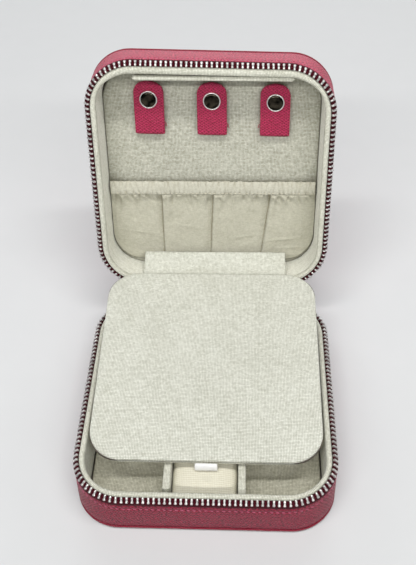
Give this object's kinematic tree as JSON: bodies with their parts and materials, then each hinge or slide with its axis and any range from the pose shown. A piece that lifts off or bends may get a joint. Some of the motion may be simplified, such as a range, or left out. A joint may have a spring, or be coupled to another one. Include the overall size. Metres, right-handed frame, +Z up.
{
  "type": "travel jewelry case",
  "caption": "Square zip-round jewelry case, lid open on a rear hinge, with a lift-up padded cover panel, snap straps, a gathered pocket and a divided base.",
  "frame": {"origin": "centre of the base's underside, where the case rests on a table", "axes": "+X right, -Y front (opening edge), +Y hinge side, +Z up"},
  "size_m": [0.1172, 0.1741, 0.1382],
  "materials": {
    "leather_pink": "pebbled cross-grain, satin",
    "linen": "plain weave linen, matt",
    "pocket_cloth": "fine weave, matt",
    "pillow_cloth": "fine ribbed weave, matt",
    "greyboard": "pressed board",
    "zip_tape": "woven twill tape",
    "zip_metal": "polished nickel",
    "snap_cap": "dark polished nickel",
    "snap_metal": "polished nickel",
    "ribbon": "satin ribbon",
    "elastic": "covered elastic"
  },
  "bodies": {
    "base": {"base_bottom_cover": "leather_pink", "base_leather_wall": "leather_pink", "base_wall_core": "greyboard", "base_floor_board": "greyboard", "base_wall_lining": "linen", "base_floor_pad": "linen", "divider_left": "linen", "divider_right": "linen", "jewelry_pillow": "pillow_cloth", "base_zip_tape": "zip_tape", "base_zip_teeth": "zip_metal", "base_zip_end_stops": "zip_metal", "spine_leather": "leather_pink", "spine_lining": "linen"},
    "lid": {"lid_top_cover": "leather_pink", "lid_leather_wall": "leather_pink", "lid_wall_core": "greyboard", "lid_top_board": "greyboard", "lid_wall_lining": "linen", "lid_back_panel": "linen", "lid_ledge_strip": "linen", "lid_zip_tape": "zip_tape", "lid_zip_teeth": "zip_metal", "lid_zip_end_stops": "zip_metal", "pocket_sheet": "pocket_cloth", "pocket_header": "pocket_cloth", "pocket_elastic": "elastic", "strap_back_left": "leather_pink", "strap_back_centre": "leather_pink", "strap_back_right": "leather_pink", "snap_studs": "snap_metal", "hinge_strip": "linen"},
    "panel_hem": {"hinge_strip_hem": "linen"},
    "cover_panel": {"panel_underside": "linen", "panel_board": "greyboard", "panel_top_pad": "linen", "panel_pull_ribbon": "ribbon"},
    "flap_left": {"strap_flap_left": "leather_pink", "snap_cap_left": "snap_cap", "snap_socket_left": "snap_metal"},
    "flap_centre": {"strap_flap_centre": "leather_pink", "snap_cap_centre": "snap_cap", "snap_socket_centre": "snap_metal"},
    "flap_right": {"strap_flap_right": "leather_pink", "snap_cap_right": "snap_cap", "snap_socket_right": "snap_metal"},
    "slider": {"zip_slider": "zip_metal"},
    "pull": {"zip_pull": "zip_metal"}
  },
  "joints": [
    {"name": "lid_hinge", "type": "hinge", "parent": "base", "child": "lid", "pos_m": [0, 0.0574, 0.0278], "axis": [-1, 0, 0], "range_deg": [-106.6, 8]},
    {"name": "hem_fold", "type": "hinge", "parent": "lid", "child": "panel_hem", "pos_m": [0, 0.0639, 0.0323], "axis": [-1, 0, 0], "range_deg": [-8, 106.6]},
    {"name": "panel_lift", "type": "hinge", "parent": "panel_hem", "child": "cover_panel", "pos_m": [0, 0.0639, 0.0323], "axis": [-1, 0, 0], "range_deg": [0, 100]},
    {"name": "flap_left_fold", "type": "hinge", "parent": "lid", "child": "flap_left", "pos_m": [-0.0295, 0.09828, 0.09721], "axis": [1, 0, 0], "range_deg": [0, 120]},
    {"name": "flap_centre_fold", "type": "hinge", "parent": "lid", "child": "flap_centre", "pos_m": [0.0003, 0.09828, 0.09721], "axis": [1, 0, 0], "range_deg": [0, 120]},
    {"name": "flap_right_fold", "type": "hinge", "parent": "lid", "child": "flap_right", "pos_m": [0.0301, 0.09828, 0.09721], "axis": [1, 0, 0], "range_deg": [0, 120]},
    {"name": "slider_travel", "type": "hinge", "parent": "base", "child": "slider", "pos_m": [0.0344, 0.0344, 0.025], "axis": [0, 0, -1], "range_deg": [0, 80]},
    {"name": "pull_swing", "type": "hinge", "parent": "slider", "child": "pull", "pos_m": [0.03905, 0.06079, 0.025], "axis": [0.9848, -0.1736, 0], "range_deg": [0, 45]}
  ],
  "couplings": [
    {"joint": "hem_fold", "follows": "lid_hinge", "ratio": -1}
  ]
}
